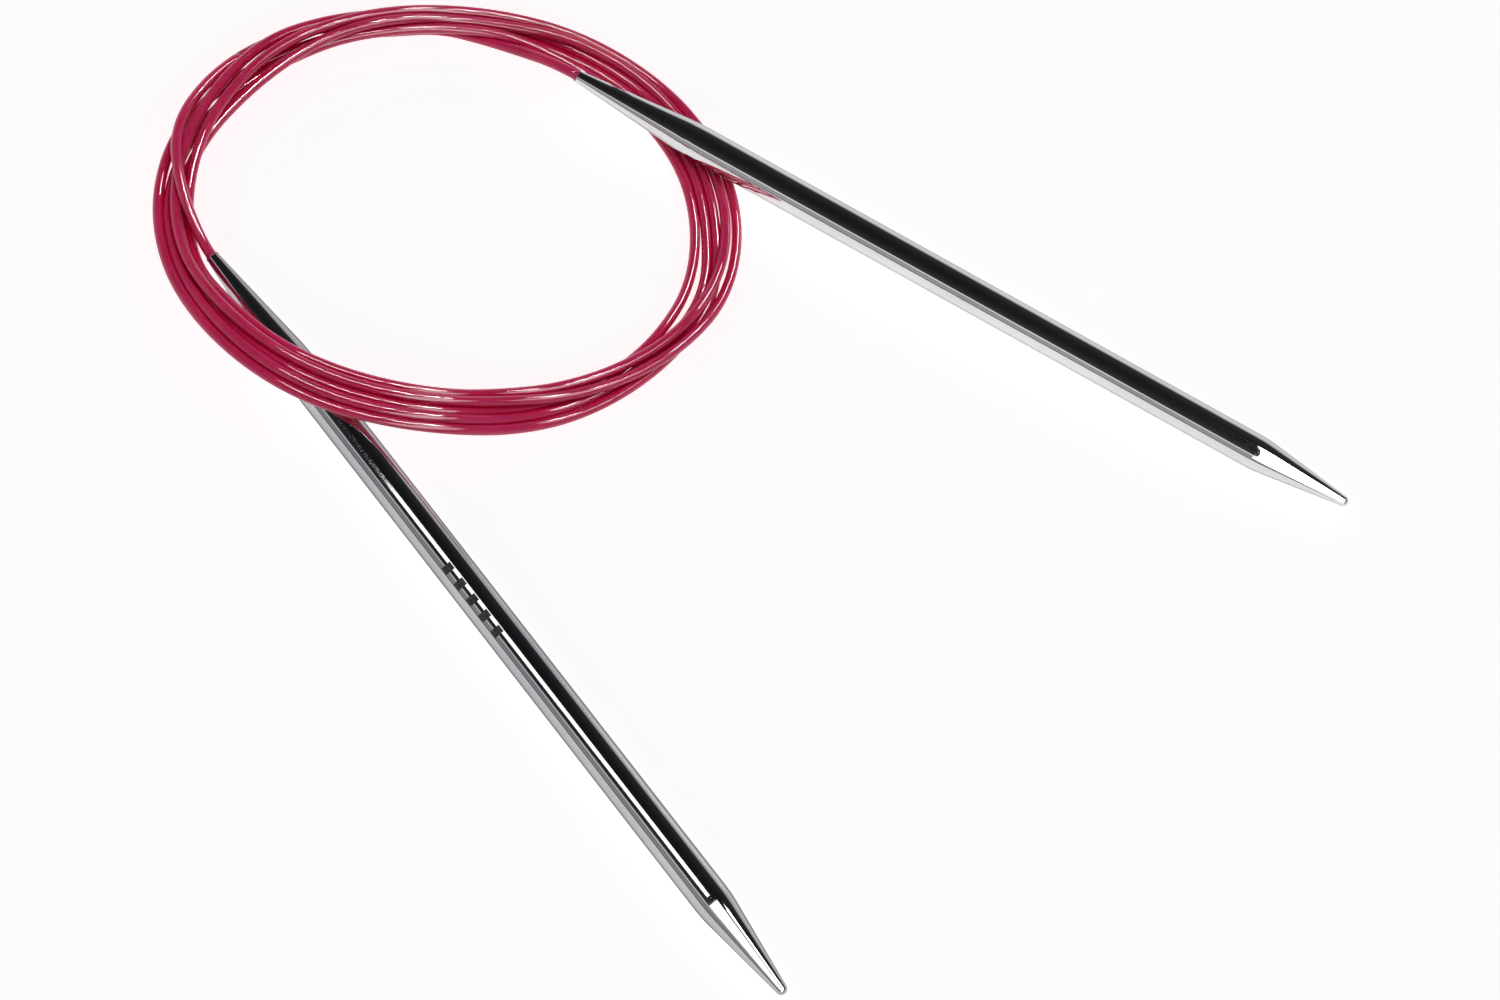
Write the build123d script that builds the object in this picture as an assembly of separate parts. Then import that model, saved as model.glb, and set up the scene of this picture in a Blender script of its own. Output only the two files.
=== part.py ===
from build123d import *
import math
import os

# A circular knitting needle lying on a table, its long cord coiled between the two needles.
# Units are millimetres.  +Z is up and the table is at Z = 0.  The origin is on the table,
# in the middle of the box around the two metal needles.  Each needle has its own line,
# counted from the mouth where the cord enters it towards its point.

# ---- needles ----
NEEDLE_LENGTH = 122.0
SHAFT_R = 2.5
MOUTH_R = 0.85
NECK_ANGLE = 5.3
NECK_BLEND_R = 45.0
POINT_ANGLE = 7.5
POINT_BLEND_R = 20.0
NOSE_R = 0.75

# ---- cord ----
CORD_R = 0.725
SOCKET_R = 0.55
CORD_END_R = 0.54
CORD_END_LENGTH = 12.0
SOCKET_LENGTH = 13.5
LIP_R = 0.93
LIP_LENGTH = 0.45

# ---- crimp that grips the cord inside each neck ----
CRIMP_AT = 5.2
CRIMP_LENGTH = 3.6
CRIMP_DEPTH = 0.28
CRIMP_NOTCH_DEPTH = 0.12

# ---- where the needles lie ----
MOUTH_A = (-46.8, 46.36, 4.7)
HEADING_A = 1.9
MOUTH_B = (-74.3, -3.9, 2.5)
HEADING_B = -23.2
CRIMP_SIDE_A = 200.0
CRIMP_SIDE_B = 60.0

# ---- the coil: an oval ring of five turns ----
COIL_CENTRE = (-51.6, 19.55)
COIL_HALF_LENGTH = 37.1
COIL_HALF_WIDTH = 29.8
COIL_TURN = 34.8
STATION_STEP = 10
CORNER = 0.6

# Each list gives (angle round the ring, value).  The sides are the middle lines of the
# innermost and outermost strands, measured outwards from the ring's oval middle line.
INNER_SIDE = [(0, -2.2), (15, -2.4), (30, -3.0), (60, -2.95), (90, -2.5), (105, -2.4),
              (120, -1.7), (150, -1.5), (165, -2.1), (195, -2.1), (205, -1.4), (225, -1.3),
              (248, -1.6), (275, -1.95), (315, -2.65), (327, -2.3), (338, -2.1), (360, -2.2)]
OUTER_SIDE = [(0, 2.1), (12, 2.9), (30, 3.15), (60, 2.85), (90, 2.25), (105, 1.4),
              (120, 1.9), (135, 1.0), (150, 1.5), (165, 2.4), (180, 2.45), (195, 2.0),
              (225, 1.6), (248, 3.2), (275, 3.75), (300, 3.3), (327, 2.15), (360, 2.1)]
# The coil climbs over needle B and is two or three strands deep where strands cross.
UNDERSIDE = [(0, 0.0), (214, 0.0), (249, 5.3), (287, 5.3), (330, 0.0), (360, 0.0)]
DEPTH = [(0, 2.9), (15, 2.5), (30, 1.6), (60, 1.5), (75, 2.2), (90, 2.8), (120, 2.9),
         (135, 4.4), (195, 4.4), (210, 2.2), (225, 2.2), (245, 2.1), (300, 2.1),
         (325, 2.9), (360, 2.9)]

# ---- the loose cord between each mouth and the coil ----
STRAIGHT_BACK_A = 3.5
STRAIGHT_BACK_B = 2.5
# (angle round the ring, offset from the middle line, height)
LEAD_A_STATIONS = [(98, -3.9, 2.3), (110, -2.3, 0.85), (122, -1.1, 0.73)]
LEAD_B_STATIONS = [(211, -1.4, 3.9), (198, 1.1, 3.5)]
BALL_GAP = 0.12
HINGE_GAP = 0.1


def eased(angle, stations):
    """The value at an angle, eased between listed stations."""
    for (start, low), (end, high) in zip(stations, stations[1:]):
        if angle <= end:
            t = (angle - start) / (end - start)
            t = t * t * (3 - 2 * t)
            return low + (high - low) * t
    return stations[-1][1]


def middle_radius(angle):
    """Distance from the coil's centre to its oval middle line."""
    t = math.radians(angle - COIL_TURN)
    along = math.cos(t) / COIL_HALF_LENGTH
    across = math.sin(t) / COIL_HALF_WIDTH
    return 1 / math.hypot(along, across)


def ring_point(angle, offset, height):
    radius = middle_radius(angle) + offset
    t = math.radians(angle)
    return Vector(COIL_CENTRE[0] + radius * math.cos(t),
                  COIL_CENTRE[1] + radius * math.sin(t), height)


def needle_direction(heading, drop):
    """Unit vector from the mouth to the point of a needle."""
    level = math.cos(drop)
    t = math.radians(heading)
    return Vector(level * math.cos(t), level * math.sin(t), -math.sin(drop))


def needle_frame(mouth, heading, drop):
    """A plane whose Z runs along the needle and whose X is level."""
    t = math.radians(heading)
    return Plane(origin=mouth, x_dir=(math.sin(t), -math.cos(t), 0),
                 z_dir=needle_direction(heading, drop))


def cone_profile(angle, blend_r, small_r):
    """Lengths of a straight cone and of the arc that blends it into the shaft."""
    t = math.radians(angle)
    blend_rise = blend_r * (1 - math.cos(t))
    cone = (SHAFT_R - blend_rise - small_r) / math.tan(t)
    return cone, blend_r * math.sin(t), SHAFT_R - blend_rise


def nose_start():
    """Radius and place of the circle where the point's cone meets its round nose."""
    t = math.radians(POINT_ANGLE)
    return NOSE_R * math.cos(t), NEEDLE_LENGTH - NOSE_R + NOSE_R * math.sin(t)


def point_start():
    """Distance from the mouth to where the plain shaft begins to narrow to the point."""
    nose_r, nose_at = nose_start()
    cone, blend, _ = cone_profile(POINT_ANGLE, POINT_BLEND_R, nose_r)
    return nose_at - cone - blend


def needle_blank():
    """The metal needle: slim neck, plain shaft and rounded point, along +Z."""
    neck_cone, neck_blend, neck_r = cone_profile(NECK_ANGLE, NECK_BLEND_R, MOUTH_R)
    nose_r, nose_at = nose_start()
    point_cone, _, point_r = cone_profile(POINT_ANGLE, POINT_BLEND_R, nose_r)
    lean = math.radians(POINT_ANGLE)
    with BuildPart() as needle:
        with BuildSketch(Plane.XZ):
            with BuildLine():
                neck = Line((MOUTH_R, 0), (neck_r, neck_cone))
                shoulder = TangentArc(neck @ 1, (SHAFT_R, neck_cone + neck_blend),
                                      tangent=neck % 1)
                shaft = Line(shoulder @ 1, (SHAFT_R, point_start()))
                TangentArc(shaft @ 1, (point_r, nose_at - point_cone), tangent=(0, 1))
                Line((point_r, nose_at - point_cone), (nose_r, nose_at))
                TangentArc((nose_r, nose_at), (0, NEEDLE_LENGTH),
                           tangent=(-math.sin(lean), math.cos(lean)))
                Line((0, NEEDLE_LENGTH), (0, SOCKET_LENGTH))
                Line((0, SOCKET_LENGTH), (SOCKET_R, SOCKET_LENGTH))
                Line((SOCKET_R, SOCKET_LENGTH), (SOCKET_R, 0))
                Line((SOCKET_R, 0), (MOUTH_R, 0))
            make_face()
        revolve(axis=Axis.Z)
    return needle.part


def crimp_tool(side, surface_r, depth):
    """A rounded bar that presses a shallow hollow into one side of the neck."""
    bar_r = (CRIMP_LENGTH / 2) ** 2 / (2 * depth) + depth / 2
    reach = surface_r - depth + bar_r
    bar = Cylinder(bar_r, 4 * SHAFT_R, rotation=(90, 0, 0))
    bar = Pos(reach, 0, CRIMP_AT) * bar
    return Rot(0, 0, side) * bar


def neck_radius(along):
    """Outside radius of the neck where it is crimped."""
    return MOUTH_R + along * math.tan(math.radians(NECK_ANGLE))


def make_needle(side):
    blank = needle_blank()
    return blank - crimp_tool(side, neck_radius(CRIMP_AT), CRIMP_DEPTH)


def make_cord_end(side):
    """Cord inside the neck, with the notch of the crimp and a flared lip at the mouth."""
    core = Cylinder(CORD_END_R, CORD_END_LENGTH, align=(Align.CENTER, Align.CENTER, Align.MIN))
    notched = core - crimp_tool(side, CORD_END_R, CRIMP_NOTCH_DEPTH)
    lip = Cone(CORD_R, LIP_R, LIP_LENGTH, align=(Align.CENTER, Align.CENTER, Align.MAX))
    return notched + lip


def make_bond():
    """Drop of adhesive at the bottom of the socket, behind the cord's end."""
    drop = Cylinder(CORD_END_R, SOCKET_LENGTH - CORD_END_LENGTH,
                    align=(Align.CENTER, Align.CENTER, Align.MIN))
    return Pos(0, 0, CORD_END_LENGTH) * drop


def bend_radii(points):
    """Arc radii that use most of each run, so that the cord has no long straight run."""
    radii = []
    for before, here, after in zip(points, points[1:], points[2:]):
        run_in = here - before
        run_out = after - here
        half_turn = math.radians(run_in.get_angle(run_out)) / 2
        radii.append(0.45 * min(run_in.length, run_out.length) / math.tan(half_turn))
    return radii


def cord_tube(name, points):
    radii = bend_radii(points)
    line = FilletPolyline(*points, radius=radii)
    print(name, "radii", [round(r, 1) for r in radii], "length", round(line.length, 2))
    section = Plane(origin=line @ 0, z_dir=line % 0) * Circle(CORD_R)
    return sweep(section, path=line)


def coil_section(angle):
    """Corners of the coil's eight-sided section, anticlockwise seen along the travel."""
    inner = eased(angle, INNER_SIDE) - CORD_R
    outer = eased(angle, OUTER_SIDE) + CORD_R
    low = eased(angle, UNDERSIDE)
    high = low + eased(angle, DEPTH)
    corners = [(inner + CORNER, low), (outer - CORNER, low), (outer, low + CORNER),
               (outer, high - CORNER), (outer - CORNER, high), (inner + CORNER, high),
               (inner, high - CORNER), (inner, low + CORNER)]
    return [ring_point(angle, offset, height) for offset, height in corners]


def make_coil():
    """The outside of the coiled cord as one closed ring of small flat faces."""
    rings = [coil_section(angle) for angle in range(0, 360, STATION_STEP)]
    faces = []
    for ring, following in zip(rings, rings[1:] + rings[:1]):
        for side in range(8):
            a, b = ring[side], ring[(side + 1) % 8]
            c, d = following[(side + 1) % 8], following[side]
            faces.append(Face(Wire.make_polygon([a, b, c])))
            faces.append(Face(Wire.make_polygon([a, c, d])))
    return Solid(Shell(faces))


DROP_A = math.asin((MOUTH_A[2] - SHAFT_R) / point_start())
AXIS_A = needle_direction(HEADING_A, DROP_A)
AXIS_B = needle_direction(HEADING_B, 0.0)
FRAME_A = needle_frame(MOUTH_A, HEADING_A, DROP_A)
FRAME_B = needle_frame(MOUTH_B, HEADING_B, 0.0)

start_a = Vector(*MOUTH_A) - AXIS_A * LIP_LENGTH
start_b = Vector(*MOUTH_B) - AXIS_B * LIP_LENGTH
straight_a = Vector(*MOUTH_A) - AXIS_A * STRAIGHT_BACK_A
straight_b = Vector(*MOUTH_B) - AXIS_B * STRAIGHT_BACK_B
lead_a = [ring_point(*station) for station in LEAD_A_STATIONS]
lead_b = [ring_point(*station) for station in LEAD_B_STATIONS]


def along_run(start, end, distance):
    return start + (end - start).normalized() * distance


# Each needle swings about the middle of the run that leaves its straight bit of cord.
pivot_a = (straight_a + lead_a[0]) / 2
pivot_b = (straight_b + lead_b[0]) / 2
print("pivot a", pivot_a, "pivot b", pivot_b)
print("axis a", AXIS_A, "axis b", AXIS_B)

exit_a = cord_tube("exit a", [start_a, straight_a, pivot_a]) + Pos(pivot_a) * Sphere(CORD_R)
exit_b_end = along_run(pivot_b, straight_b, HINGE_GAP)
exit_b = cord_tube("exit b", [start_b, straight_b, exit_b_end])
lead_a_start = along_run(pivot_a, lead_a[0], CORD_R + BALL_GAP)
lead_b_start = along_run(pivot_b, lead_b[0], HINGE_GAP)

parts = {
    "needle_a": FRAME_A * make_needle(CRIMP_SIDE_A),
    "needle_b": FRAME_B * make_needle(CRIMP_SIDE_B),
    "cord_end_a": FRAME_A * make_cord_end(CRIMP_SIDE_A),
    "cord_end_b": FRAME_B * make_cord_end(CRIMP_SIDE_B),
    "bond_a": FRAME_A * make_bond(),
    "bond_b": FRAME_B * make_bond(),
    "cord_exit_a": exit_a,
    "cord_exit_b": exit_b,
    "cord_lead_a": cord_tube("lead a", [lead_a_start] + lead_a),
    "cord_lead_b": cord_tube("lead b", [lead_b_start] + lead_b),
    "cord_coil": make_coil(),
}

os.makedirs("parts", exist_ok=True)
for name, solid in parts.items():
    solid.label = name
    export_step(solid, f"parts/{name}.step")
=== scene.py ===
"""Looks of the circular knitting needle, built around its CAD frame.

Lengths are in metres unless a comment says mm, and angles named in tables are in degrees.
"""

import math

import bpy
from mathutils import Matrix, Vector


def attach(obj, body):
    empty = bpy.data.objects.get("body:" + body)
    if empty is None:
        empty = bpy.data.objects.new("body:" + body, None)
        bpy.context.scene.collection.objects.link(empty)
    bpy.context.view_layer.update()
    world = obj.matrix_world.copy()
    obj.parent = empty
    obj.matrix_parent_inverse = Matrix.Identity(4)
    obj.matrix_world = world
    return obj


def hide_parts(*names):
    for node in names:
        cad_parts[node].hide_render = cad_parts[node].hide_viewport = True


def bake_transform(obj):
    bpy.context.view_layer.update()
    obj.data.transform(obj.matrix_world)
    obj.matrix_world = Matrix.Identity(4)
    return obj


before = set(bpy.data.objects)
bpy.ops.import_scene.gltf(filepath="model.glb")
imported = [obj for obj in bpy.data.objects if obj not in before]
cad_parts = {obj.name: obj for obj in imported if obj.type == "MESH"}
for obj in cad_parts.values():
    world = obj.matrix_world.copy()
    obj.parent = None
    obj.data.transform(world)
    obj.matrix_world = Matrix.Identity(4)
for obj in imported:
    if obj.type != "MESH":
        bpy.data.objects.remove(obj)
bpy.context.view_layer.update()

MM = 0.001

# ---- the middle line of the coil and the two mouths, as in part.py ----
CORD_R = 0.725 * MM
COIL_CENTRE = Vector((-51.6, 19.55, 0.0)) * MM
COIL_LONG = 37.1 * MM
COIL_SHORT = 29.8 * MM
COIL_TURNED = 34.8
MOUTH_A = Vector((-46.8, 46.36, 4.7)) * MM
MOUTH_B = Vector((-74.3, -3.9, 2.5)) * MM
AXIS_A = Vector((0.99924, 0.03315, -0.02062))
AXIS_B = Vector((0.91914, -0.39394, 0.0))
# The cord runs straight for this long as it comes out of each mouth.
STRAIGHT_BACK_A = 3.5 * MM
STRAIGHT_BACK_B = 2.5 * MM

# Each lap starts here, and its strands are renumbered where they lie flat side by side.
LAP_START = 30
STEP = 15
# A quadratic spline runs inside its control points, so they stand further out by this factor.
FULLER = 1 / math.cos(math.radians(STEP / 2))

# The lift of the coil where it climbs over needle B: angle, height in mm.
LIFT = [(214, 0.0), (249, 5.3), (287, 5.3), (330, 0.0)]

# Places of the cord are pairs in mm: how far out from the coil's middle line, and how high the
# cord's centre is above the underside of the coil. First the two leads, with the angle of each
# place, where they lie on or beside the coil. Lead B's places differ a little from part.py's.
LEAD_A_STATIONS = [(98, (-3.9, 2.3)), (110, (-2.3, 0.85)), (122, (-1.1, 0.73))]
LEAD_B_STATIONS = [(195, (1.9, 3.5)), (208, (-1.0, 3.8))]

# Then passes 0 to 5 at each angle. NONE stands where a pass is not used. At 225 pass 2 is still on
# the floor, below the lift of the rest, and so clears the mouth of needle B.
NONE = (0.0, 0.0)
PASSES = {
    30: [NONE, (-0.05, 0.73), (3.15, 0.73), (1.42, 1.5), (-2.9, 0.73), (-1.47, 0.73)],
    45: [NONE, (-0.05, 0.73), (3.05, 0.73), (1.48, 0.73), (-3.0, 0.73), (-1.53, 0.73)],
    60: [NONE, (0.0, 0.73), (2.87, 0.73), (1.43, 0.73), (-2.95, 0.73), (-1.48, 0.73)],
    75: [NONE, (0.1, 0.73), (2.6, 0.75), (1.3, 1.55), (-2.8, 0.85), (-1.38, 0.73)],
    90: [NONE, (0.2, 0.73), (2.25, 1.2), (0.85, 2.05), (-2.5, 1.55), (-1.3, 0.73)],
    105: [NONE, (0.65, 0.73), (1.4, 2.0), (-0.1, 2.1), (-1.6, 2.2), (-0.8, 0.73)],
    120: [NONE, (1.9, 0.73), (1.2, 2.1), (-0.25, 2.1), (-1.7, 2.15), (0.3, 0.73)],
    135: [(-1.5, 1.13), (1.0, 1.9), (0.57, 3.33), (-0.85, 3.7), (-1.95, 2.5), (0.0, 0.8)],
    150: [(-0.2, 0.8), (1.45, 2.5), (0.3, 3.65), (-1.05, 3.35), (-1.45, 1.95), (1.15, 1.1)],
    165: [(-0.05, 0.75), (1.9, 3.1), (0.1, 3.7), (-2.0, 2.85), (-1.45, 1.35), (2.4, 1.6)],
    180: [(0.85, 0.95), (0.8, 3.4), (-0.95, 3.55), (-2.55, 2.25), (-0.85, 0.95), (2.55, 2.3)],
    195: [(1.83, 1.35), (0.1, 2.9), (-1.75, 3.05), (-1.95, 1.4), (-0.18, 0.74), NONE],
    210: [(1.75, 0.73), (-0.45, 2.05), (-2.3, 1.4), (-1.0, 0.73), (0.45, 0.73), NONE],
    225: [(1.85, 0.73), (-0.5, 2.15), (-2.05, -0.5), (-0.9, 0.73), (0.5, 0.73), NONE],
    240: [(2.75, 0.73), (-0.4, 2.05), (-1.8, 0.95), (0.05, 0.7), (1.4, 1.25), NONE],
    255: [(3.32, 0.73), (-0.35, 1.5), (-1.58, 0.73), (0.88, 0.73), (2.1, 1.5), NONE],
    270: [(3.5, 0.73), (-0.5, 1.3), (-1.84, 0.73), (0.83, 0.73), (2.17, 1.3), NONE],
    285: [(3.4, 0.95), (-0.52, 1.36), (-1.82, 0.73), (0.79, 0.73), (2.1, 1.36), NONE],
    300: [(3.1, 1.0), (-0.73, 1.42), (-2.0, 0.73), (0.55, 0.73), (1.83, 1.42), NONE],
    315: [(2.45, 0.73), (-1.2, 2.0), (-2.6, 1.3), (-0.35, 0.73), (1.05, 0.95), NONE],
    330: [(2.12, 0.73), (-0.55, 2.15), (-2.1, 1.95), (-0.75, 0.73), (0.7, 0.73), NONE],
    345: [(1.83, 0.73), (0.7, 2.15), (-1.15, 2.18), (-1.1, 0.73), (0.35, 0.73), NONE],
    360: [(1.6, 0.73), (1.95, 2.2), (0.03, 2.18), (-1.65, 0.73), (0.15, 0.73), NONE],
    375: [(1.65, 0.73), (3.07, 0.9), (1.1, 2.3), (-2.1, 0.73), (0.2, 0.73), NONE],
}

# Where the loose cord leaves the coil for each needle, as the control point before the join.
LEAVES_AT_A = 135
LEAVES_AT_B = 165

# The passes that run a whole lap.
FULL_LAPS = (1, 2, 3, 4)

TUBE_SIDES = 20

# ---- the size mark, five plain printed bars ----
# How far the middle of each bar is from needle B's mouth, in mm.
BARS_AT = [53.0, 55.6, 58.2, 60.8, 63.4]
BAR_LENGTH = 1.1 * MM
# The bars face this many degrees from straight up, towards the camera.
BAR_FACING = 34
BAR_HALF_ANGLE = 17
BAR_FACES = 25
BAR_PROUD = 0.006 * MM
SHAFT_R = 2.5 * MM

# ---- camera, with its angles in degrees and its lens and sensor in mm ----
CAMERA_AT = Vector((3.0, -175.5, 389.0)) * MM
CAMERA_ELEVATION = 65.0
CAMERA_ROLL = 30.1
CAMERA_LENS = 77.0
CAMERA_SENSOR = 36.0
CAMERA_CLIP_START = 0.01

# ---- looks ----
# Plating of each needle: node, material, heading of the needle, brightness, brightness at grazing view.
# Needle B's lower brightness is painted shade, and the brightness at grazing view darkens each needle's
# limbs as painted shade.
PLATING = [
    ("needle_a", "bright_nickel_a_painted_shade", 1.9, 0.72, 0.42),
    ("needle_b", "bright_nickel_b_painted_shade", -23.2, 0.48, 0.15),
]

# Depth of the fine relief on each material.
DRAWN_LINE_DEPTH = 0.0000015
PLATING_SPECK_DEPTH = 0.0000004
CORD_GRAIN_DEPTH = 0.000002
BOND_CLOUD_DEPTH = 0.00001
INK_WEAR_DEPTH = 0.000001

# How far light spreads inside the cord, and how near strands must be to take on painted shade.
CORD_SCATTER = 0.002
CORD_SHADE_REACH = 0.002
# Painted shade: the deep crimson given to the cord where strands lie close together.
CORD_PAINTED_SHADE = (0.50, 0.002, 0.052, 1.0)

# ---- studio ----
FLOOR_HALF = 3.0
FLOOR_GLOW = 0.85

# Grey of the walls that the needles mirror, against the sine of the height above the horizon.
BACK_WALL = [(0.0, (0.8, 0.8, 0.81)), (0.3, (0.55, 0.55, 0.56)), (0.42, (0.04, 0.04, 0.042)),
             (1.0, (0.012, 0.012, 0.014))]
FRONT_WALL = [(0.0, (0.1, 0.1, 0.1)), (0.07, (0.16, 0.16, 0.16)), (0.16, (0.42, 0.42, 0.42)),
              (0.42, (0.3, 0.3, 0.31)), (0.52, (0.85, 0.85, 0.85)), (0.555, (0.85, 0.85, 0.85)),
              (0.6, (0.045, 0.045, 0.05)), (1.0, (0.012, 0.012, 0.014))]

# The broad light on the pieces, and the large window that the plating mirrors.
KEY_AT = (0.0, 0.2, 1.3)
KEY_SIZE = (1.2, 1.2)
KEY_POWER = 13
WINDOW_AT = (0.36, -0.22, 0.5)
WINDOW_TARGET = (0.065, 0.05, 0)
WINDOW_SIZE = (0.25, 1.1)
WINDOW_POWER = 5

# Small lights that draw the shine on the cord: name, place, size and power.
STREAKS = [
    ("streak_near", (-0.11, 0.13, 1.29), (0.3, 0.16), 5.0),
    ("streak_low", (0.13, 0.3, 1.25), (0.25, 0.09), 6.5),
    ("streak_high", (0.13, 0.72, 1.08), (0.12, 0.3), 8.0),
]

# Soft boxes that needle B mirrors: name, lean along the needle, turn about it, size and power.
BOXES_B = [("band_b", -0.15, 22, (0.24, 0.36), 0.65), ("tip_b", 0.17, 24, (0.22, 1.1), 1.7)]
# They aim at this distance from needle B's mouth.
BOXES_AIM = 0.07


def eased(angle, stations):
    """Value at an angle, with smooth steps between the stations and level outside them."""
    if angle <= stations[0][0]:
        return stations[0][1]
    for (a, low), (b, high) in zip(stations, stations[1:]):
        if angle <= b:
            t = (angle - a) / (b - a)
            return low + (high - low) * t * t * (3 - 2 * t)
    return stations[-1][1]


def ring_point(angle, offset, height):
    """Point of the coil at an angle in degrees, with the offset and height in mm."""
    turn = math.radians(angle - COIL_TURNED)
    radius = 1 / math.hypot(math.cos(turn) / COIL_LONG, math.sin(turn) / COIL_SHORT)
    reach = radius * FULLER + offset * MM
    a = math.radians(angle)
    out = Vector((math.cos(a), math.sin(a), 0.0))
    return COIL_CENTRE + out * reach + Vector((0, 0, (height + eased(angle, LIFT)) * MM))


def pass_points(number, first, last):
    """Control points of one pass of the cord, from one angle up to but not including another."""
    return [ring_point(angle, *PASSES[angle][number]) for angle in range(first, last, STEP)]


def lead_points(stations):
    """Control points of a lead where it lies on or beside the coil."""
    return [ring_point(angle, *place) for angle, place in stations]


def add_curve(name, points):
    """A curve of one open NURBS spline with these control points."""
    data = bpy.data.curves.new(name, "CURVE")
    data.dimensions = "3D"
    spline = data.splines.new("NURBS")
    spline.points.add(len(points) - 1)
    for point, place in zip(spline.points, points):
        point.co = (*place, 1.0)
    spline.order_u = 3
    spline.use_endpoint_u = True
    spline.resolution_u = 8
    piece = bpy.data.objects.new(name, data)
    bpy.context.scene.collection.objects.link(piece)
    return piece


def spline_path(points):
    """Points along the smooth spline of a route."""
    guide = add_curve("guide", points)
    bpy.context.view_layer.update()
    line = bpy.data.meshes.new_from_object(guide)
    path = [vertex.co.copy() for vertex in line.vertices]
    bpy.data.meshes.remove(line)
    bpy.data.objects.remove(guide)
    return path


def add_mesh(name, points, faces):
    """A smooth-shaded mesh piece."""
    data = bpy.data.meshes.new(name)
    data.from_pydata(points, [], faces)
    data.polygons.foreach_set("use_smooth", [True] * len(faces))
    data.update()
    piece = bpy.data.objects.new(name, data)
    bpy.context.scene.collection.objects.link(piece)
    return piece


def add_tube(name, path, radius):
    """A round mesh tube along a path, closed at both ends."""
    points, faces = [], []
    side = Vector((0, 0, 1))
    for number, centre in enumerate(path):
        ahead = path[min(number + 1, len(path) - 1)] - path[max(number - 1, 0)]
        ahead.normalize()
        side = (side - ahead * side.dot(ahead)).normalized()
        other = ahead.cross(side)
        for k in range(TUBE_SIDES):
            a = 2 * math.pi * k / TUBE_SIDES
            points.append(centre + (side * math.cos(a) + other * math.sin(a)) * radius)
    for number in range(len(path) - 1):
        base = number * TUBE_SIDES
        for k in range(TUBE_SIDES):
            after = (k + 1) % TUBE_SIDES
            faces.append((base + k, base + after, base + after + TUBE_SIDES, base + k + TUBE_SIDES))
    last = (len(path) - 1) * TUBE_SIDES
    faces.append(tuple(reversed(range(TUBE_SIDES))))
    faces.append(tuple(range(last, last + TUBE_SIDES)))
    return add_mesh(name, points, faces)


# ---- materials ----
def new_material(name):
    """A material, its node tree and its surface shader."""
    material = bpy.data.materials.new(name)
    material.use_nodes = True
    tree = material.node_tree
    return material, tree, tree.nodes["Principled BSDF"]


def noise(tree, scale, detail, stretch=(1, 1, 1), rotation=(0, 0, 0)):
    """A noise texture in the object's own coordinates."""
    place = tree.nodes.new("ShaderNodeTexCoord")
    mapping = tree.nodes.new("ShaderNodeMapping")
    mapping.inputs["Scale"].default_value = stretch
    mapping.inputs["Rotation"].default_value = rotation
    texture = tree.nodes.new("ShaderNodeTexNoise")
    texture.inputs["Scale"].default_value = scale
    texture.inputs["Detail"].default_value = detail
    tree.links.new(place.outputs["Object"], mapping.inputs["Vector"])
    tree.links.new(mapping.outputs["Vector"], texture.inputs["Vector"])
    return texture.outputs["Fac"]


def spread(tree, value, low, high, start=0.3, end=0.7):
    """A noise value taken onto another range."""
    node = tree.nodes.new("ShaderNodeMapRange")
    node.inputs["From Min"].default_value = start
    node.inputs["From Max"].default_value = end
    node.inputs["To Min"].default_value = low
    node.inputs["To Max"].default_value = high
    tree.links.new(value, node.inputs["Value"])
    return node.outputs["Result"]


def colours(tree, value, stops):
    """A colour ramp over a value, from (position, colour) stops."""
    node = tree.nodes.new("ShaderNodeValToRGB")
    ramp = node.color_ramp
    while len(ramp.elements) < len(stops):
        ramp.elements.new(0.5)
    for element, (position, colour) in zip(ramp.elements, stops):
        element.position = position
        element.color = (*colour, 1.0)
    tree.links.new(value, node.inputs["Fac"])
    return node.outputs["Color"]


def bump(tree, shader, value, distance):
    """Fine relief from a value, on top of any relief the shader already has."""
    node = tree.nodes.new("ShaderNodeBump")
    node.inputs["Strength"].default_value = 1.0
    node.inputs["Distance"].default_value = distance
    tree.links.new(value, node.inputs["Height"])
    if shader.inputs["Normal"].is_linked:
        before = shader.inputs["Normal"].links[0].from_socket
        tree.links.new(before, node.inputs["Normal"])
    tree.links.new(node.outputs["Normal"], shader.inputs["Normal"])


def needle_material(name, heading, tone_and_shade, limb_shade):
    """Polished nickel plating: mirror bright, with drawn lines along the needle and fine specks. The
    grazing edge is darkened as painted shade, and needle B is given a darker grey as painted shade.
    """
    material, tree, shader = new_material(name)
    shader.inputs["Metallic"].default_value = 1.0
    # Painted shade: the limbs are darkened where they are seen at a grazing angle.
    shader.inputs["Specular Tint"].default_value = (limb_shade, limb_shade, limb_shade, 1.0)
    along = (0, 0, math.radians(-heading))
    lines = noise(tree, 900, 3, (0.02, 1, 1), along)
    specks = noise(tree, 5200, 2)
    tint = noise(tree, 60, 3)
    dull, bright = (tone_and_shade, tone_and_shade, tone_and_shade + 0.02), (tone_and_shade + 0.07, tone_and_shade + 0.07, tone_and_shade + 0.08)
    stops = [(0.35, dull), (0.65, bright)]
    tree.links.new(colours(tree, tint, stops), shader.inputs["Base Color"])
    tree.links.new(spread(tree, specks, 0.035, 0.11, 0.45, 0.75), shader.inputs["Roughness"])
    bump(tree, shader, lines, DRAWN_LINE_DEPTH)
    bump(tree, shader, specks, PLATING_SPECK_DEPTH)
    return material


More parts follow.
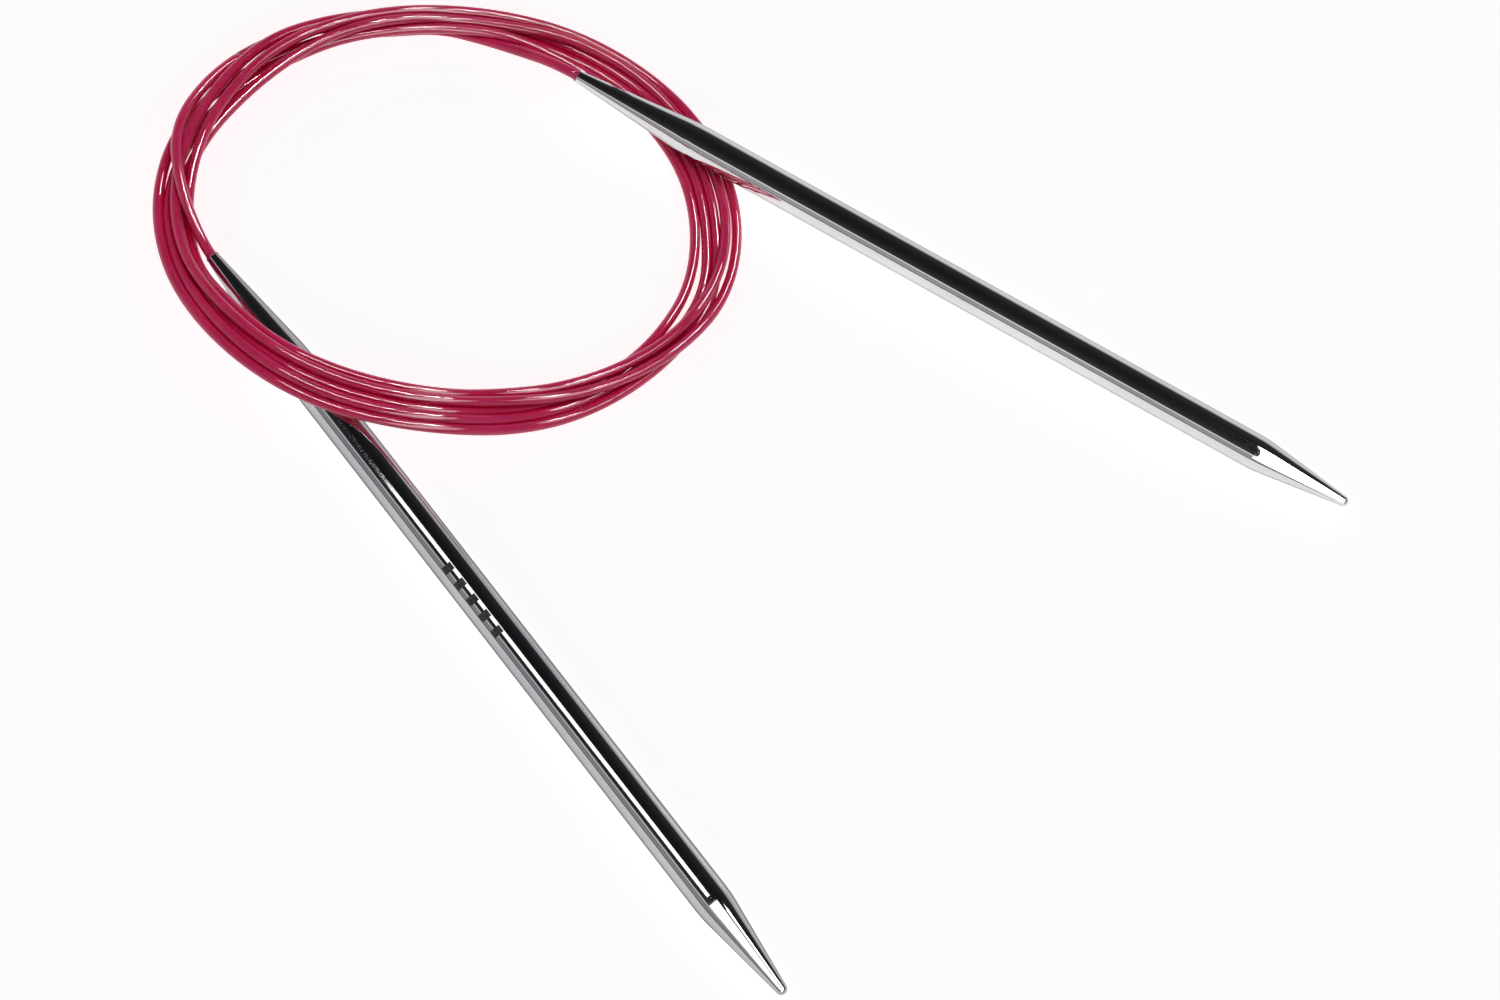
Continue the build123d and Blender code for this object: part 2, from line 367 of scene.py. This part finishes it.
def cord_material():
    """Translucent raspberry plastic, a little cloudy, with painted shade in deep crimson where strands
    lie together.
    """
    material, tree, shader = new_material("raspberry_plastic")
    shader.inputs["Subsurface Weight"].default_value = 0.7
    shader.inputs["Subsurface Radius"].default_value = (1.0, 0.1, 0.35)
    shader.inputs["Subsurface Scale"].default_value = CORD_SCATTER
    shader.inputs["IOR"].default_value = 1.52
    cloud = noise(tree, 140, 3)
    grain = noise(tree, 2600, 3)
    stops = [(0.3, (0.44, 0.020, 0.088)), (0.7, (0.53, 0.029, 0.118))]
    light = colours(tree, cloud, stops)
    # Painted shade: the colour turns deep crimson where other strands lie close by.
    near = tree.nodes.new("ShaderNodeAmbientOcclusion")
    near.samples = 6
    near.inputs["Distance"].default_value = CORD_SHADE_REACH
    painted_shade = spread(tree, near.outputs["AO"], 1.0, 0.0, 0.35, 0.95)
    mix = tree.nodes.new("ShaderNodeMix")
    mix.data_type = "RGBA"
    mix.inputs["B"].default_value = CORD_PAINTED_SHADE
    tree.links.new(painted_shade, mix.inputs["Factor"])
    tree.links.new(light, mix.inputs["A"])
    tree.links.new(mix.outputs["Result"], shader.inputs["Base Color"])
    tree.links.new(spread(tree, grain, 0.035, 0.055), shader.inputs["Roughness"])
    bump(tree, shader, grain, CORD_GRAIN_DEPTH)
    return material


def bond_material():
    """Clear yellowish adhesive, hidden inside the crimp."""
    material, tree, shader = new_material("clear_adhesive")
    shader.inputs["Transmission Weight"].default_value = 0.4
    cloud = noise(tree, 900, 4)
    stops = [(0.3, (0.55, 0.50, 0.36)), (0.7, (0.72, 0.68, 0.52))]
    tree.links.new(colours(tree, cloud, stops), shader.inputs["Base Color"])
    tree.links.new(spread(tree, cloud, 0.2, 0.4), shader.inputs["Roughness"])
    bump(tree, shader, cloud, BOND_CLOUD_DEPTH)
    return material


def mark_material():
    """Dark printed ink, worn a little at random."""
    material, tree, shader = new_material("mark_ink")
    shader.inputs["IOR"].default_value = 1.45
    worn = noise(tree, 3800, 3)
    stops = [(0.4, (0.012, 0.012, 0.014)), (0.75, (0.07, 0.07, 0.075))]
    tree.links.new(colours(tree, worn, stops), shader.inputs["Base Color"])
    tree.links.new(spread(tree, worn, 0.35, 0.6), shader.inputs["Roughness"])
    bump(tree, shader, worn, INK_WEAR_DEPTH)
    return material


def floor_material():
    """Plain pale floor, mostly self-lit so that hardly any shadow shows."""
    material, tree, shader = new_material("floor")
    shader.inputs["Roughness"].default_value = 0.9
    shader.inputs["Specular IOR Level"].default_value = 0.0
    shader.inputs["Emission Color"].default_value = (1, 1, 1, 1)
    shader.inputs["Emission Strength"].default_value = FLOOR_GLOW
    paper = noise(tree, 40, 2)
    stops = [(0.3, (0.86, 0.86, 0.86)), (0.7, (0.88, 0.88, 0.88))]
    tree.links.new(colours(tree, paper, stops), shader.inputs["Base Color"])
    return material


def paint(piece, material):
    """Give a piece or a CAD node its material."""
    if not piece.material_slots:
        piece.data.materials.append(material)
    for slot in piece.material_slots:
        slot.material = material


def add_lead(name, points, nodes):
    """The loose cord between a needle and the coil: points run from the coil to the mouth."""
    path = spline_path(points)
    piece = add_tube(name, path, CORD_R)
    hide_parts(*nodes)
    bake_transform(piece)
    return piece


def add_cord(material):
    """The whole free cord: about five turns of coil and the two leads."""
    start_a = MOUTH_A - AXIS_A * STRAIGHT_BACK_A
    start_b = MOUTH_B - AXIS_B * STRAIGHT_BACK_B
    lap_end = LAP_START + 360
    first = pass_points(0, LEAVES_AT_A, lap_end)
    turns = [point for number in FULL_LAPS for point in pass_points(number, LAP_START, lap_end)]
    last = pass_points(5, LAP_START, LEAVES_AT_B + 2 * STEP)
    join_a = (first[0] + first[1]) / 2
    join_b = (last[-2] + last[-1]) / 2
    middle = [join_a] + first[1:] + turns + last[:-1] + [join_b]
    lead_a = [join_a, first[0]] + lead_points(reversed(LEAD_A_STATIONS)) + [start_a, MOUTH_A]
    lead_b = [join_b, last[-1]] + lead_points(LEAD_B_STATIONS) + [start_b, MOUTH_B]

    path = spline_path(middle)
    coil = add_tube("cord_turns", path, CORD_R)
    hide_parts("cord_coil")
    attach(coil, "cord")
    nodes_a = ("cord_lead_a", "cord_exit_a")
    nodes_b = ("cord_lead_b", "cord_exit_b")
    run_a = add_lead("cord_run_a", lead_a, nodes_a)
    run_b = add_lead("cord_run_b", lead_b, nodes_b)
    for piece in (coil, run_a, run_b):
        paint(piece, material)


def add_size_bars():
    """Five plain bars printed round the camera's side of needle B, in place of its mark."""
    side = Vector((0, 0, 1)).cross(AXIS_B).normalized()
    up = Vector((0, 0, 1))
    facing = math.radians(BAR_FACING)
    points, faces = [], []
    for place in BARS_AT:
        for radius in (SHAFT_R - BAR_PROUD, SHAFT_R + BAR_PROUD):
            for reach in (-BAR_LENGTH / 2, BAR_LENGTH / 2):
                for k in range(BAR_FACES + 1):
                    a = facing + math.radians(BAR_HALF_ANGLE) * (2 * k / BAR_FACES - 1)
                    out = up * math.cos(a) - side * math.sin(a)
                    points.append(MOUTH_B + AXIS_B * (place * MM + reach) + out * radius)
        row = BAR_FACES + 1
        base = len(points) - 4 * row
        under, over = base, base + 2 * row
        for k in range(BAR_FACES):
            faces.append((over + k, over + row + k, over + row + k + 1, over + k + 1))
            faces.append((under + k, under + k + 1, under + row + k + 1, under + row + k))
            faces.append((under + k, over + k, over + k + 1, under + k + 1))
            faces.append((under + row + k + 1, over + row + k + 1, over + row + k, under + row + k))
        for k, turned in ((0, False), (BAR_FACES, True)):
            face = (under + k, under + row + k, over + row + k, over + k)
            faces.append(tuple(reversed(face)) if turned else face)
    piece = add_mesh("size_bars", points, faces)
    piece.data.polygons.foreach_set("use_smooth", [False] * len(faces))
    paint(piece, mark_material())
    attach(piece, "needle_b")


def paint_frame(cord):
    """Better materials on the CAD nodes that stay."""
    for node, name, heading, tone_and_shade, limb_shade in PLATING:
        paint(bpy.data.objects[node], needle_material(name, heading, tone_and_shade, limb_shade))
    bond = bond_material()
    for side in "ab":
        paint(bpy.data.objects["cord_end_" + side], cord)
        paint(bpy.data.objects["bond_" + side], bond)


# ---- setting ----
def add_floor():
    """A wide flat floor under the object."""
    half = FLOOR_HALF
    points = [(-half, -half, 0), (half, -half, 0), (half, half, 0), (-half, half, 0)]
    floor = add_mesh("floor", points, [(0, 1, 2, 3)])
    paint(floor, floor_material())


def add_world():
    """What the needles mirror: a bright wall behind, a dimmer one in front and a dark ceiling."""
    world = bpy.data.worlds.new("studio")
    bpy.context.scene.world = world
    world.use_nodes = True
    tree = world.node_tree
    place = tree.nodes.new("ShaderNodeTexCoord")
    split = tree.nodes.new("ShaderNodeSeparateXYZ")
    tree.links.new(place.outputs["Generated"], split.inputs["Vector"])
    back = colours(tree, split.outputs["Z"], BACK_WALL)
    front = colours(tree, split.outputs["Z"], FRONT_WALL)
    side = spread(tree, split.outputs["Y"], 0.0, 1.0, -0.25, 0.25)
    mix = tree.nodes.new("ShaderNodeMix")
    mix.data_type = "RGBA"
    tree.links.new(side, mix.inputs["Factor"])
    tree.links.new(front, mix.inputs["A"])
    tree.links.new(back, mix.inputs["B"])
    tree.links.new(mix.outputs["Result"], tree.nodes["Background"].inputs["Color"])


def add_light(name, place, target, along, size, power):
    """A rectangular area light aimed at a point, with its first side along a direction."""
    data = bpy.data.lights.new(name, "AREA")
    data.shape = "RECTANGLE"
    data.size, data.size_y = size
    data.energy = power
    light = bpy.data.objects.new(name, data)
    bpy.context.scene.collection.objects.link(light)
    back = (Vector(place) - Vector(target)).normalized()
    first = (Vector(along) - back * back.dot(Vector(along))).normalized()
    second = back.cross(first)
    light.matrix_world = Matrix((
        (first.x, second.x, back.x, place[0]),
        (first.y, second.y, back.y, place[1]),
        (first.z, second.z, back.z, place[2]),
        (0, 0, 0, 1),
    ))
    light.visible_camera = False
    return light


def only_on(light, names):
    """Let a light reach only these pieces."""
    lit = bpy.data.collections.new(light.name + "_reach")
    for name in names:
        lit.objects.link(bpy.data.objects[name])
    light.light_linking.receiver_collection = lit


def add_lights():
    """A broad key on the pieces but not the floor, and lights that only show as reflections."""
    cords = ["cord_turns", "cord_run_a", "cord_run_b", "cord_end_a", "cord_end_b"]
    key = add_light("key", KEY_AT, (0, 0, 0), (1, 0, 0), KEY_SIZE, KEY_POWER)
    key.visible_glossy = False
    window = add_light("window", WINDOW_AT, WINDOW_TARGET, AXIS_A, WINDOW_SIZE, WINDOW_POWER)
    window.visible_diffuse = False
    only_on(key, cords + ["needle_a", "needle_b", "size_bars"])
    for name, place, size, power in STREAKS:
        streak = add_light(name, place, (0, 0, 0), (1, 0, 0), size, power)
        streak.visible_diffuse = False
        only_on(streak, cords)
    middle = MOUTH_B + AXIS_B * BOXES_AIM
    side = AXIS_B.cross(Vector((0, 0, 1)))
    for name, lean, turn, size, power in BOXES_B:
        a = math.radians(turn)
        out = (Vector((0, 0, 1)) * math.cos(a) + side * math.sin(a)) * math.sqrt(1 - lean * lean)
        place = middle + AXIS_B * lean + out
        box = add_light(name, place, middle, AXIS_B, size, power)
        box.visible_diffuse = False
        only_on(box, ["needle_b"])


def add_camera():
    """The camera of the picture: 65 degrees above the floor, rolled 30 degrees."""
    e, r = math.radians(CAMERA_ELEVATION), math.radians(CAMERA_ROLL)
    right = Vector((math.cos(r), math.sin(r) * math.sin(e), math.sin(r) * math.cos(e)))
    up = Vector((-math.sin(r), math.cos(r) * math.sin(e), math.cos(r) * math.cos(e)))
    back = Vector((0, -math.cos(e), math.sin(e)))
    data = bpy.data.cameras.new("camera")
    data.lens = CAMERA_LENS
    data.sensor_width = CAMERA_SENSOR
    data.clip_start = CAMERA_CLIP_START
    camera = bpy.data.objects.new("camera", data)
    bpy.context.scene.collection.objects.link(camera)
    camera.matrix_world = Matrix((
        (right.x, up.x, back.x, CAMERA_AT.x),
        (right.y, up.y, back.y, CAMERA_AT.y),
        (right.z, up.z, back.z, CAMERA_AT.z),
        (0, 0, 0, 1),
    ))
    bpy.context.scene.camera = camera


def write_sizes():
    """Brings the scene up to date."""
    bpy.context.view_layer.update()


add_camera()
cord = cord_material()
add_cord(cord)
paint_frame(cord)
add_size_bars()
add_floor()
add_world()
add_lights()
bpy.context.scene.view_settings.view_transform = "Standard"
write_sizes()
